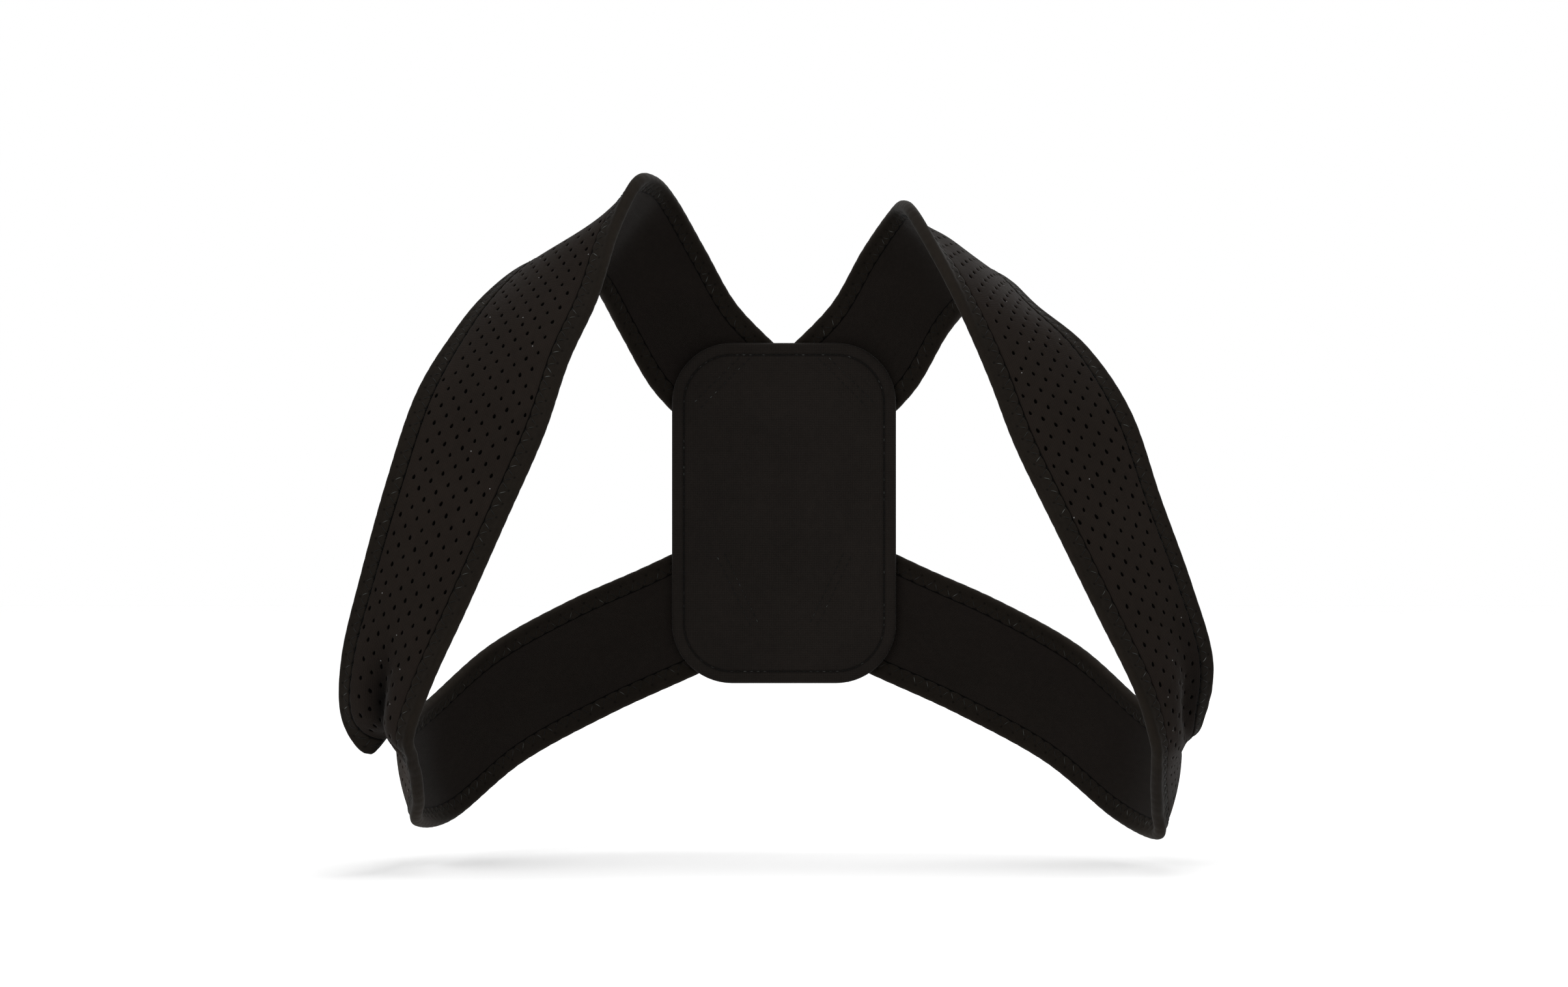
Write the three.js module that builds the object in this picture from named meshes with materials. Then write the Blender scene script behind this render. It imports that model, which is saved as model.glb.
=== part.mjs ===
// A posture corrector in the form that it has when worn: two perforated foam straps with bound edges.
// Each strap runs from a flat back panel over the shoulder, down the chest, under the arm and back to
// the panel. Millimetres, +Z up, the wearer faces -Y. The origin is on the wearer's midline at the crest
// of the shoulders.
import * as THREE from "three";

// Driving dimensions.
const FOAM_THICKNESS = 4;
const BINDING_WIDTH = 7.5;
const BINDING_WALL = 1;
const SEAM_GAP = 0.3;
const STEPS_BETWEEN_ROWS = 3;

// The back panel is flat, and its inner face lies against the wearer's back.
const PANEL = { width: 112, height: 170, thickness: 4, corner: 30, innerFace: 106, centreUp: -134 };
const PANEL_OUTER_FACE = PANEL.innerFace + PANEL.thickness;

// The middle of a strap that lies on the panel, with its binding between the two.
const LAP = PANEL_OUTER_FACE + 2 * SEAM_GAP + BINDING_WALL + FOAM_THICKNESS / 2;

// Each row of a route is a section across the strap, from its inner edge, on the neck's side, to its outer
// edge, on the arm's side. Places are distances out from the midline, back from the shoulder crest and up.
// The crown is how far the middle of the section stands out from the straight line between its edges.
const COLUMNS = ["innerOut", "innerBack", "innerUp", "outerOut", "outerBack", "outerUp", "crown"];

const UPPER_BACK = [
  [4, LAP, -50, 46, LAP, -93, 0],
  [24, LAP, -29, 66, LAP, -72, 0],
  [39, 98, -3, 81, 107, -46, 2],
];

const FRONT_RIGHT = [
  [53, 70, 21, 92, 86, -25, 3],
  [62, 42, 30, 101, 62, -15, -1],
  [70, 14, 27, 111, 42, -12, -3],
  [79, -10, 3, 126, 22, -17, 3],
  [88, -32, -31, 142, 2, -30, 6],
  [101, -52, -62, 156, -20, -48, 6],
  [112, -70, -97, 173, -48, -78, 4],
  [129, -86, -137, 186, -64, -120, 3],
  [147, -95, -178, 197, -66, -162, 3],
  [162, -96, -210, 206, -60, -200, 3],
  [172, -90, -236, 207, -47, -229, 3],
  [172, -78, -248, 198, -38, -246, 1],
  [172, -64, -257, 187, -24, -232, -1],
  [172, -40, -271, 182, -8, -234, 2],
  [174, -6, -283, 184, 6, -235, 3],
];

const FRONT_LEFT = [
  [52, 70, 15, 91, 86, -33, 3],
  [57, 44, 18, 96, 65, -26, 1],
  [62, 12, 12, 102, 43, -20, 0],
  [71, -20, -9, 110, 21, -25, 2],
  [83, -44, -37, 121, -2, -37, 4],
  [96, -58, -70, 144, -28, -57, 5],
  [108, -72, -103, 163, -52, -87, 4],
  [126, -88, -141, 176, -60, -127, 3],
  [145, -93, -180, 190, -62, -167, 3],
  [162, -92, -214, 200, -56, -203, 3],
  [171, -82, -239, 196, -38, -231, 3],
  [173, -68, -252, 191, -26, -237, 3],
  [174, -52, -263, 189, -14, -238, 3],
  [176, -28, -277, 188, -2, -238, 4],
  [178, 2, -290, 188, 12, -238, 3],
];

const LOWER_BACK = [
  [161, 50, -283, 172, 50, -224, 4],
  [129, 86, -257, 145, 86, -199, 3],
  [86, 106, -234, 108, 107, -178, 2],
  [44, LAP, -215, 70, LAP, -161, 0],
  [4, LAP, -196, 30, LAP, -142, 0],
];

// Each row is a dent where the strap bunches at the armpit or bends beside the neck. Its place counts rows
// along the route, and its share runs from -1 at the inner edge to 1 at the outer one.
const FOLD_COLUMNS = ["place", "share", "height", "placeSpread", "shareSpread"];

const FOLDS_RIGHT = [
  [12.6, 0.05, -8, 0.8, 0.3],
  [13.9, 0.36, -15, 0.75, 0.38],
  [13.9, -0.2, -7, 0.65, 0.45],
];

const FOLDS_LEFT = [
  [12.5, 0.3, -6, 0.8, 0.3],
  [5.0, -0.6, -4, 1.0, 0.3],
];

const STRAPS = [
  { name: "right", side: -1, rows: [UPPER_BACK, FRONT_RIGHT, LOWER_BACK], folds: FOLDS_RIGHT },
  { name: "left", side: 1, rows: [UPPER_BACK, FRONT_LEFT, LOWER_BACK], folds: FOLDS_LEFT },
];

const FINISH = {
  foam: new THREE.MeshStandardMaterial({ color: 0x211d1b, roughness: 0.92, metalness: 0 }),
  binding: new THREE.MeshStandardMaterial({ color: 0x1b1917, roughness: 0.85, metalness: 0 }),
  panel: new THREE.MeshStandardMaterial({ color: 0x1f1c1a, roughness: 0.9, metalness: 0 }),
};

function withNames(columns, table) {
  return table.map((row) => Object.fromEntries(columns.map((column, k) => [column, row[k]])));
}

// A column's value at a place between the rows, on a smooth curve through all of them.
function alongRows(rows, column, place) {
  const low = Math.min(Math.floor(place), rows.length - 2);
  const f = place - low;
  const value = (k) => rows[THREE.MathUtils.clamp(k, 0, rows.length - 1)][column];
  const [a, b, c, d] = [value(low - 1), value(low), value(low + 1), value(low + 2)];
  return b + 0.5 * f * (c - a + f * (2 * a - 5 * b + 4 * c - d + f * (3 * (b - c) + d - a)));
}

// The middle surface of a strap, and points at a height over it, before the strap is put on its side.
class StrapSurface {
  constructor({ rows, folds }) {
    this.rows = withNames(COLUMNS, rows.flat());
    this.folds = withNames(FOLD_COLUMNS, folds);
    this.lastPlace = this.rows.length - 1;
  }

  edge(name, place) {
    const [out, back, up] = ["Out", "Back", "Up"].map((end) => alongRows(this.rows, name + end, place));
    return new THREE.Vector3(out, back, up);
  }

  width(place) {
    return this.edge("inner", place).distanceTo(this.edge("outer", place));
  }

  centre(place) {
    return this.edge("inner", place).lerp(this.edge("outer", place), 0.5);
  }

  // Which way the strap faces, away from the wearer.
  facing(place) {
    const reach = 0.05;
    const before = Math.max(place - reach, 0);
    const after = Math.min(place + reach, this.lastPlace);
    const along = this.centre(after).sub(this.centre(before));
    const across = this.edge("outer", place).sub(this.edge("inner", place));
    return along.cross(across).normalize();
  }

  foldHeight(place, share) {
    return this.folds.reduce((sum, fold) => {
      const along = (place - fold.place) / fold.placeSpread;
      const across = (share - fold.share) / fold.shareSpread;
      return sum + fold.height * Math.exp(-along * along - across * across);
    }, 0);
  }

  middle(place, share) {
    const crown = alongRows(this.rows, "crown", place) * (1 - share * share);
    const straight = this.edge("inner", place).lerp(this.edge("outer", place), (share + 1) / 2);
    return straight.addScaledVector(this.facing(place), crown + this.foldHeight(place, share));
  }

  normal(place, share) {
    const reach = 0.02;
    const before = Math.max(place - reach, 0);
    const after = Math.min(place + reach, this.lastPlace);
    const along = this.middle(after, share).sub(this.middle(before, share));
    const across = this.middle(place, share + reach).sub(this.middle(place, share - reach));
    return along.cross(across).normalize();
  }

  point(place, share, height) {
    return this.middle(place, share).addScaledVector(this.normal(place, share), height);
  }
}

// A closed solid whose sections are rings of points that all follow one flat outline.
function sweptSolid(rings, outline) {
  const count = outline.length;
  const points = rings.flat();
  const faces = [];
  const addQuad = (a, b, c, d) => {
    const cutAC = points[a].distanceTo(points[c]) < points[b].distanceTo(points[d]);
    faces.push(...(cutAC ? [a, b, c, a, c, d] : [a, b, d, b, c, d]));
  };
  for (let ring = 0; ring + 1 < rings.length; ring++) {
    for (let k = 0; k < count; k++) {
      const here = ring * count + k;
      const next = ring * count + ((k + 1) % count);
      addQuad(here, next, next + count, here + count);
    }
  }
  const last = (rings.length - 1) * count;
  const clockwise = THREE.ShapeUtils.isClockWise(outline);
  for (const cut of THREE.ShapeUtils.triangulateShape(outline, [])) {
    const [a, b, c] = clockwise ? cut : cut.toReversed();
    faces.push(a, b, c, last + c, last + b, last + a);
  }
  return facingOut(points, faces);
}

// The geometry of a closed mesh, with its faces turned out if they point in.
function facingOut(points, faces) {
  let volume = 0;
  for (let k = 0; k < faces.length; k += 3) {
    const [a, b, c] = faces.slice(k, k + 3).map((index) => points[index]);
    volume += a.dot(b.clone().cross(c));
  }
  const geometry = new THREE.BufferGeometry().setFromPoints(points);
  geometry.setIndex(volume > 0 ? faces : faces.toReversed());
  geometry.computeVertexNormals();
  return geometry;
}

// Sweeps an outline along a strap. The outline gives, at each place, pairs of share and height.
function sweepAlong(surface, side, outlineAt) {
  const steps = surface.lastPlace * STEPS_BETWEEN_ROWS;
  const rings = [];
  for (let step = 0; step <= steps; step++) {
    const place = step / STEPS_BETWEEN_ROWS;
    const ring = outlineAt(place).map(({ x, y }) => surface.point(place, x, y));
    rings.push(ring.map((point) => point.setX(point.x * side)));
  }
  return sweptSolid(rings, outlineAt(surface.lastPlace));
}

// The share at which the foam ends, inside the fold of the binding.
function foamRim(width) {
  return 1 - (2 * (SEAM_GAP + BINDING_WALL)) / width;
}

// The foam's section: its edges lie inside the bindings, and its points line up with theirs.
function foamOutline(width) {
  const half = FOAM_THICKNESS / 2;
  const rim = foamRim(width);
  const bound = rim - (2 * BINDING_WIDTH) / width;
  const shares = [-rim, -(rim + bound) / 2, -bound, -bound / 3, bound / 3, bound, (rim + bound) / 2, rim];
  const outer = shares.map((share) => new THREE.Vector2(share, half));
  const inner = shares.toReversed().map((share) => new THREE.Vector2(share, -half));
  return [...outer, ...inner];
}

// A binding's section: a folded tape that wraps one edge of the foam. The edge is -1 or 1.
function bindingOutline(width, edge) {
  const cavity = FOAM_THICKNESS / 2 + SEAM_GAP;
  const skin = cavity + BINDING_WALL;
  const fold = SEAM_GAP + BINDING_WALL;
  const wrap = [
    [-BINDING_WIDTH, skin],
    [-BINDING_WIDTH / 2, skin],
    [0, skin],
    [fold, cavity / 2],
    [fold, -cavity / 2],
    [0, -skin],
    [-BINDING_WIDTH / 2, -skin],
    [-BINDING_WIDTH, -skin],
    [-BINDING_WIDTH, -cavity],
    [-BINDING_WIDTH / 2, -cavity],
    [SEAM_GAP, -cavity],
    [SEAM_GAP, cavity],
    [-BINDING_WIDTH / 2, cavity],
    [-BINDING_WIDTH, cavity],
  ];
  const rim = foamRim(width);
  return wrap.map(([past, height]) => new THREE.Vector2(edge * (rim + (2 * past) / width), height));
}

function addMesh(group, name, geometry, material) {
  const mesh = new THREE.Mesh(geometry, material);
  mesh.name = name;
  group.add(mesh);
  return mesh;
}

function makeStrap(strap) {
  const group = new THREE.Group();
  const surface = new StrapSurface(strap);
  const foam = sweepAlong(surface, strap.side, (place) => foamOutline(surface.width(place)));
  addMesh(group, `strap_${strap.name}`, foam, FINISH.foam);
  for (const [edgeName, edge] of [["inner", -1], ["outer", 1]]) {
    const tape = sweepAlong(surface, strap.side, (place) => bindingOutline(surface.width(place), edge));
    addMesh(group, `binding_${strap.name}_${edgeName}`, tape, FINISH.binding);
  }
  return group;
}

// A flat panel with round corners, standing upright behind the wearer.
function makeBackPanel() {
  const { width, height, thickness, corner } = PANEL;
  const [right, top] = [width / 2 - corner, height / 2 - corner];
  const outline = new THREE.Shape();
  outline.absarc(right, top, corner, 0, Math.PI / 2);
  outline.absarc(-right, top, corner, Math.PI / 2, Math.PI);
  outline.absarc(-right, -top, corner, Math.PI, 1.5 * Math.PI);
  outline.absarc(right, -top, corner, 1.5 * Math.PI, 2 * Math.PI);
  const extrusion = { depth: thickness, bevelEnabled: false, curveSegments: 6 };
  const plate = new THREE.ExtrudeGeometry(outline, extrusion);
  const group = new THREE.Group();
  const mesh = addMesh(group, "back_panel", plate, FINISH.panel);
  mesh.rotation.x = Math.PI / 2;
  mesh.position.set(0, PANEL_OUTER_FACE, PANEL.centreUp);
  return group;
}

const corrector = new THREE.Group();
corrector.add(...STRAPS.map(makeStrap), makeBackPanel());

export default corrector;
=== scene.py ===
import math

import bmesh
import bpy
import numpy as np
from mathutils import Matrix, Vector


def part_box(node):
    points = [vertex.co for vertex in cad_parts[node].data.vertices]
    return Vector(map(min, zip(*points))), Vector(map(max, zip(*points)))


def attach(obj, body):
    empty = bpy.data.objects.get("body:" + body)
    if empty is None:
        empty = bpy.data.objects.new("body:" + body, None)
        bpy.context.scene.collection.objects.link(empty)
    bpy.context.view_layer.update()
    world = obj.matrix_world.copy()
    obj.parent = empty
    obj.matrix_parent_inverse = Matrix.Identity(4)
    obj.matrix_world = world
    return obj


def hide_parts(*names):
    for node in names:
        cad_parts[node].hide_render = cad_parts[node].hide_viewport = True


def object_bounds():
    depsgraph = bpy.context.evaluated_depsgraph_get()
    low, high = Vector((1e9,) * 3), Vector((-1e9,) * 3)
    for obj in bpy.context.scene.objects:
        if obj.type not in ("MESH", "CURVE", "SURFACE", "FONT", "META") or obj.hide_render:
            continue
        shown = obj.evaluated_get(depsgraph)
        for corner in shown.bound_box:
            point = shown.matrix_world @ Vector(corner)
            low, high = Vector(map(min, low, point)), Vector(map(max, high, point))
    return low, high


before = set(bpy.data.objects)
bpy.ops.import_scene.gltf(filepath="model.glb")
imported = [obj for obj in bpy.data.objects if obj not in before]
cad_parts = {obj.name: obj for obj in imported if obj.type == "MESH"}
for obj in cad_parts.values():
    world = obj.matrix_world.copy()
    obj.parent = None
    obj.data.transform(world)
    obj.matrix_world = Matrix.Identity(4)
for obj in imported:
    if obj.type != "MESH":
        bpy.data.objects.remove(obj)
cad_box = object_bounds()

# Every size below is in millimetres, except in the studio. Meshes are scaled to metres when they are made.
MM = 0.001

# The photograph's view: a level camera in front of the straps.
IMAGE_WIDTH = 2408
FOCAL_PIXELS = 8320
CAMERA_PLACE = (0, -2600, -124.2)
SENSOR_WIDTH = 36

# The foam of a strap, which is held thinner under its tape. A distance from the edge is measured across the
# strap from its outline.
FOAM_HALF = 2.0
FOAM_HELD = 1.38
HELD_INSIDE = 0.5
HELD_BLUR = 0.35
RIM_INSET = 1.6

# The tape that is folded over an edge. Its skin and its cavity are listed by distance from the edge.
TAPE_WIDTH = 8.8
TAPE_FLAT = 2.28
TAPE_STEPS = 6
TAPE_SKIN = [7.6, 6.7, 5.8, 5.0, 4.3, 3.6, 2.9, 2.2, 1.5, 0.9, 0.45, 0.15]
TAPE_CAVITY = [(8.4, 1.46), (4.8, 1.5), (1.7, 1.46), (1.15, 0.8)]

# The tape is full along its fold and flat from a distance on, and it turns down near the edge.
FULL_HEIGHT = 0.85
FULL_FROM = 6.0
FULL_SPREAD = 2.6
FOLD_REACH = 2.6
FOLD_DROP = TAPE_FLAT + 0.82
FOLD_POWER = 2.2

# The raw edge of the tape is drawn in at each stitch. Its foot, its round and its top lie in from it. The
# heights of its foot and its side are measured from the middle of the foam.
RAW_EDGE = TAPE_WIDTH + 0.2
RAW_DRAWN = 0.55
RAW_FOOT = 0.15
RAW_FOOT_UP = 1.46
RAW_SIDE_UP = 1.8
RAW_ROUND = 0.12
RAW_TOP = 0.5

# Small waves along the fold of the tape, each of its own height.
WAVE_HEIGHT = 0.12
WAVE_MIDDLE = 0.3
WAVE_LEAST = 0.6
WAVE_RANGE = 0.8
WAVE_SPREAD = 2.4

# The zigzag seam that holds a tape.
STITCH_PERIOD = 7.0
STITCH_NEAR = TAPE_WIDTH + 0.4
STITCH_FAR = TAPE_WIDTH - 4.6
STITCH_STRAY = 0.2
STITCH_SUNK = 0.9
STITCH_LIFT = 0.14
BETWEEN_STITCHES = 0.5
PINCH_POWER = 3
SEWN_TO = TAPE_WIDTH - 0.5
NEEDLE_NEAR = TAPE_WIDTH - 0.3

# Hollows along a seam: a depth, a distance from the edge and a spread.
FOAM_GROOVE = (0.55, TAPE_WIDTH + 0.05, 0.55)
FOAM_DRAWN = (0.35, STITCH_NEAR, 1.0)
TAPE_NEAR = (0.38, SEWN_TO, 0.9)
TAPE_FAR = (0.34, STITCH_FAR, 0.8)

# Sewing thread, made as a short tube for each stitch.
THREAD_RADIUS = 0.17
THREAD_SIDES = 5
THREAD_POINTS = 6
THREAD_LIFT = 0.12

# The perforations stand in staggered rows. A cell is half of the distance between the holes of a row. Some
# cells at each end hold none, and some columns of cells lie on each side of the middle.
CELL_ALONG = 4.7
CELL_ACROSS = 4.5
END_CELLS = 2
SIDE_CELLS = 5
HOLE_ALONG = 1.16
HOLE_ACROSS = 0.64
HOLE_ROOM = 1.3 * HOLE_ACROSS + 0.12
HOLE_DEPTH = 2.2
HOLE_VARIES = 0.12
HOLE_TILT = 0.16
HOLE_TAPER = 0.22
HOLE_POINTS = 12

# Each ring of a hole has a scale and a depth: the lip, the edge of the core and the foot of the wall.
HOLE_RINGS = [(1.28, 0.0), (1.0, 0.16), (0.85, 2.0)]

# The square of grid points round a hole, as steps along and across, in the order of its lip.
FIRST_CORNER = math.radians(225)
CELL_RIM = [(-1, -1), (-1, 0), (-1, 1), (0, 1), (1, 1), (1, 0), (1, -1), (0, -1)]

# Columns of the foam's outer face on one side of its middle: how many lie between the seams, how close they
# may come, and the rest by distance from the edge.
HALF_COLUMNS = 11
COLUMN_GAP = 0.15
GROOVE_COLUMNS = [TAPE_WIDTH + past for past in (0.9, 0.55, 0.25, 0.0, -0.8, -4.0)] + [RIM_INSET]

# Material slots of a foam strap.
FACE, CORE_SHADE, INSIDE = range(3)

# The map of a strap or a tape lies in strips side by side, and the panel's two faces lie beside each other.
FOAM_STRIPS = 3
FOAM_MAP_WIDTH = 80
FOAM_MAP_MARGIN = 3
TAPE_STRIPS = 5
TAPE_MAP_MARGIN = 1
PANEL_MAP_WIDER = 1.04
PANEL_MAP_TALLER = 1.02
STRIP_SLACK = 0.01

# The back panel, as the frame places it. Its rings are distances in from its outline.
PANEL_LOW, PANEL_HIGH = (np.round(np.array(corner) / MM, 3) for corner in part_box("back_panel"))
PANEL_WIDTH, PANEL_THICKNESS, PANEL_HEIGHT = PANEL_HIGH - PANEL_LOW
PANEL_UP = (PANEL_LOW[2] + PANEL_HIGH[2]) / 2
PANEL_CORNER = 30
PANEL_RINGS = [0, 0.25, 0.7, 1.3, 2, 3.5, 5, 5.5, 6, 6.5, 7, 9, 14, 22, 32, 42, 50, 54]
PANEL_ARC_POINTS = 16
PANEL_SIDE_POINTS = 16
PANEL_LEAST_RADIUS = 0.5

# The panel's hem is sewn down. Its middle swells more on the inner face, -1, than on the outer face, 1.
HEM = 6
HEM_DEPTH = 0.5
HEM_SPREAD = 0.7
SWELL = {1: 0.3, -1: 1.1}
SWELL_REACH = 9

# Straight stitches: rows across the ends of the straps, and one row along the hem.
LAP_ROWS = [5, 9]
LAP_STITCH = 2.6
LAP_STEP = 3.3
LAP_SUNK = 0.6
LAP_POWER = 5
LAP_MARGIN = 1.5
LAP_INSET = 2.5
LAP_UNDER = 0.1
HEM_SUNK = 0.5
HEM_POWER = 4

# The middle of a strap that lies on the panel, with the wall of its tape and two small gaps between.
TAPE_WALL = 1
SEAM_GAP = 0.3
LAP = PANEL_HIGH[1] + 2 * SEAM_GAP + TAPE_WALL + FOAM_HALF

# Each row of a route is a section across the strap, from its inner edge to its outer edge, as distances
# out from the midline, back from the shoulder crest and up. The last number is the crown of the section.
INNER_EDGE = slice(0, 3)
OUTER_EDGE = slice(3, 6)
CROWN = 6
UPPER_BACK = [
    (4, LAP, -50, 46, LAP, -93, 0),
    (24, LAP, -29, 66, LAP, -72, 0),
    (39, 98, -3, 81, 107, -46, 2),
]
FRONT_RIGHT = [
    (53, 70, 21, 92, 86, -25, 3),
    (62, 42, 30, 101, 62, -15, -1),
    (70, 14, 27, 111, 42, -12, -3),
    (79, -10, 3, 126, 22, -17, 3),
    (88, -32, -31, 142, 2, -30, 6),
    (101, -52, -62, 156, -20, -48, 6),
    (112, -70, -97, 173, -48, -78, 4),
    (129, -86, -137, 186, -64, -120, 3),
    (147, -95, -178, 197, -66, -162, 3),
    (162, -96, -210, 206, -60, -200, 3),
    (172, -90, -236, 207, -47, -229, 3),
    (172, -78, -248, 198, -38, -246, 1),
    (172, -64, -257, 187, -24, -232, -1),
    (172, -40, -271, 182, -8, -234, 2),
    (174, -6, -283, 184, 6, -235, 3),
]
FRONT_LEFT = [
    (52, 70, 15, 91, 86, -33, 3),
    (57, 44, 18, 96, 65, -26, 1),
    (62, 12, 12, 102, 43, -20, 0),
    (71, -20, -9, 110, 21, -25, 2),
    (83, -44, -37, 121, -2, -37, 4),
    (96, -58, -70, 144, -28, -57, 5),
    (108, -72, -103, 163, -52, -87, 4),
    (126, -88, -141, 176, -60, -127, 3),
    (145, -93, -180, 190, -62, -167, 3),
    (162, -92, -214, 200, -56, -203, 3),
    (171, -82, -239, 196, -38, -231, 3),
    (173, -68, -252, 191, -26, -237, 3),
    (174, -52, -263, 189, -14, -238, 3),
    (176, -28, -277, 188, -2, -238, 4),
    (178, 2, -290, 188, 12, -238, 3),
]
LOWER_BACK = [
    (161, 50, -283, 172, 50, -224, 4),
    (129, 86, -257, 145, 86, -199, 3),
    (86, 106, -234, 108, 107, -178, 2),
    (44, LAP, -215, 70, LAP, -161, 0),
    (4, LAP, -196, 30, LAP, -142, 0),
]

# Dents where the strap bunches at the armpit or bends beside the neck: a place along the route, a share
# across the strap from -1 to 1, a height, and how far the dent spreads along and across.
FOLDS_RIGHT = [
    (12.6, 0.05, -8, 0.8, 0.3),
    (13.9, 0.36, -15, 0.75, 0.38),
    (13.9, -0.2, -7, 0.65, 0.45),
]
FOLDS_LEFT = [
    (12.5, 0.3, -6, 0.8, 0.3),
    (5.0, -0.6, -4, 1.0, 0.3),
]

# Painted shade in creases and painted light on the strands and tips under the arms, where light from behind
# falls: a place, a share, the change in brightness, and how far it spreads along and across.
PAINTED_LIGHT_AND_SHADE = {
    "right": [
        (12.62, 0.1, -0.9, 0.65, 0.2),
        (13.9, -0.5, 0.7, 0.5, 0.3),
        (16.2, -0.2, 1.3, 0.9, 0.6),
        (16.9, -1.0, 0.8, 0.7, 0.3),
    ],
    "left": [
        (12.4, 0.55, -0.45, 0.9, 0.25),
        (16.9, -1.0, 0.8, 0.7, 0.3),
    ],
}

# Small wrinkles on the fold of a tape: a place along the route, a height and how far it spreads.
WRINKLES = {"left_outer": [(12.42, 0.9, 0.08), (12.68, 1.0, 0.08)]}

# How finely a route is measured, how far to each side its directions are taken, and how far a line may lean
# to lie square across it, found in a few rounds.
ROUTE_SAMPLES = 4000
FACING_REACH = 0.05
NORMAL_REACH = 0.02
LEAN_REACH = 0.5
LEAN_LIMIT = 0.35
LEAN_ROUNDS = 3

STRAPS = [
    dict(name="right", side=-1, rows=UPPER_BACK + FRONT_RIGHT + LOWER_BACK, folds=FOLDS_RIGHT),
    dict(name="left", side=1, rows=UPPER_BACK + FRONT_LEFT + LOWER_BACK, folds=FOLDS_LEFT),
]
EDGES = {"inner": -1, "outer": 1}

# Base colours, as linear light.
KNIT_COLOUR = (0.0094, 0.007, 0.0056)
INNER_COLOUR = (0.0078, 0.0062, 0.0052)
# The core is black foam, painted darker still for the shade deep in the holes.
CORE_SHADE_COLOUR = (0.0016, 0.0013, 0.0012)
TAPE_COLOUR = (0.0072, 0.0056, 0.0042)
PANEL_COLOUR = (0.0088, 0.007, 0.0058)
THREAD_COLOUR = (0.0028, 0.0029, 0.0027)
FLOOR_COLOUR = (0.99, 0.99, 0.99)

# Specks of lint: one place in each cell, of which only those above a chance show.
LINT_CELL = 15
LINT_CHANCE = 0.8

# A wave texture of scale 1 has this many bands in a length of 2 pi.
WAVE_BANDS = 20

# A painted glint: some stitches are painted brighter in their middle.
GLINT_POWER = 6.0
GLINT_GAIN = 26.0

# The floor, in metres.
FLOOR_HALF = 6.0
FLOOR_DROP = 0.012

rng = np.random.default_rng(7)


def unit(v):
    return v / np.maximum(np.linalg.norm(v, axis=-1, keepdims=True), 1e-12)


def travelled(points):
    return np.r_[0, np.cumsum(np.linalg.norm(np.diff(points, axis=0), axis=1))]


def bump_at(value, centre, spread):
    return np.exp(-(((value - centre) / spread) ** 2))


def hollow(from_edge, depth, centre, spread):
    return depth * bump_at(from_edge, centre, spread)


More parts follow.
